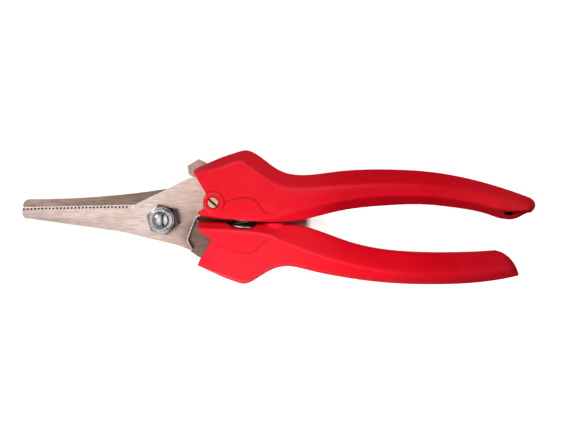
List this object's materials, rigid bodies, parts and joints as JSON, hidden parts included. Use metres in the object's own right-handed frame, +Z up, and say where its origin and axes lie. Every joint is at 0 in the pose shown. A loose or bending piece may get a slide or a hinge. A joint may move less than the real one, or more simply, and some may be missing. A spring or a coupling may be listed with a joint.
{
  "type": "bypass pruner",
  "caption": "Straight-blade bypass snips: two steel plates crossing on a bolted pivot, moulded grips, an opening spring between them and a thumb catch.",
  "frame": {"origin": "on the surface the closed tool lies on, midway along its length and its width", "axes": "+X from the blades to the handle ends, +Y towards the handle with the catch, +Z up out of the nut side"},
  "size_m": [0.1884, 0.0491, 0.0175],
  "materials": {
    "blade_steel": "stainless plate, brushed along the blades",
    "red_grip": "fine satin texture",
    "plated_steel": "bright zinc plate",
    "nylon": "natural nylon",
    "catch_steel": "stamped edges, brushed faces",
    "nickel_steel": "nickel plated",
    "spring_steel": "drawn wire"
  },
  "bodies": {
    "front_half": {"front_blade": "blade_steel", "upper_handle": "red_grip", "pivot_bolt": "plated_steel", "pivot_nut": "plated_steel", "nut_insert": "nylon", "catch_screw": "nickel_steel", "spring": "spring_steel"},
    "rear_half": {"rear_blade": "blade_steel", "lower_handle": "red_grip"},
    "catch": {"catch_lever": "catch_steel"}
  },
  "joints": [
    {"name": "pivot", "type": "hinge", "parent": "front_half", "child": "rear_half", "pos_m": [-0.0411, -0.00055, 0.007], "axis": [0, 0, -1], "range_deg": [0, 29], "deforming": ["spring"]},
    {"name": "catch_turn", "type": "hinge", "parent": "front_half", "child": "catch", "pos_m": [-0.0228, 0.00555, 0.006], "axis": [0, 0, 1], "range_deg": [0, 12]}
  ]
}
